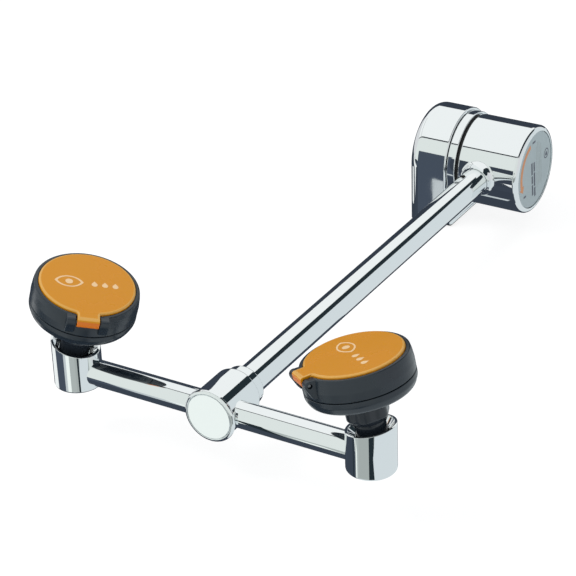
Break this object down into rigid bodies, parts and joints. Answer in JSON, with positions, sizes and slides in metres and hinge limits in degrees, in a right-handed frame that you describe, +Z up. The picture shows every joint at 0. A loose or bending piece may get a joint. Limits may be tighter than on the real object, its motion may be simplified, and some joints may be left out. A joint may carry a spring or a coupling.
{
  "type": "eyewash station",
  "caption": "Deck-mounted swing-down eyewash: chromed valve and long arm with a crossbar, cups and spray heads under hinged dust covers.",
  "frame": {"origin": "centre of the base's underside, on the deck", "axes": "+Z up from the deck; the lowered arm points along -Y; the valve axis, about which the arm swings, lies along X"},
  "size_m": [0.2098, 0.3723, 0.0928],
  "materials": {
    "chrome": "mirror polished",
    "brass": "machined",
    "steel": "satin",
    "label": "printed, satin",
    "charcoal": "moulded, satin",
    "black_plastic": "glossy",
    "orange_plastic": "satin gloss",
    "rubber": "matt",
    "white_plastic": "smooth",
    "foam": "open-cell foam"
  },
  "bodies": {
    "base": {"valve_base": "chrome", "deck_gasket": "rubber", "seat_seal": "white_plastic", "thrust_washer": "white_plastic", "collar_ring": "chrome", "collar_seal": "rubber", "stop_pin": "steel"},
    "arm": {"barrel": "chrome", "valve_plug": "brass", "plug_o_ring_inner": "rubber", "plug_o_ring_outer": "rubber", "plug_nut": "brass", "barrel_cap": "brass", "cap_o_ring": "rubber", "label_plate": "label", "arm_tube": "chrome", "tee_hub": "chrome", "tee_cap": "chrome", "left_side_tube": "chrome", "left_cup": "chrome", "left_adapter": "black_plastic", "left_adapter_o_ring": "rubber", "left_flow_control": "white_plastic", "left_lock_nut": "black_plastic", "left_head_bowl": "charcoal", "left_filter_foam": "foam", "left_spray_plate": "charcoal", "left_head_housing": "charcoal", "left_hinge_pin": "steel", "right_side_tube": "chrome", "right_cup": "chrome", "right_adapter": "black_plastic", "right_adapter_o_ring": "rubber", "right_flow_control": "white_plastic", "right_lock_nut": "black_plastic", "right_head_bowl": "charcoal", "right_filter_foam": "foam", "right_spray_plate": "charcoal", "right_head_housing": "charcoal", "right_hinge_pin": "steel"},
    "left_cover": {"left_cover": "orange_plastic"},
    "right_cover": {"right_cover": "orange_plastic"}
  },
  "joints": [
    {"name": "arm_swing", "type": "hinge", "parent": "base", "child": "arm", "pos_m": [0, 0, 0.0353], "axis": [-1, 0, 0], "range_deg": [0, 90]},
    {"name": "left_cover_flip", "type": "hinge", "parent": "arm", "child": "left_cover", "pos_m": [-0.02612, -0.33464, 0.07838], "axis": [0.765, 0.6008, -0.2321], "range_deg": [0, 110]},
    {"name": "right_cover_flip", "type": "hinge", "parent": "arm", "child": "right_cover", "pos_m": [0.09355, -0.33464, 0.07975], "axis": [0.7766, -0.601, 0.189], "range_deg": [0, 110]}
  ]
}
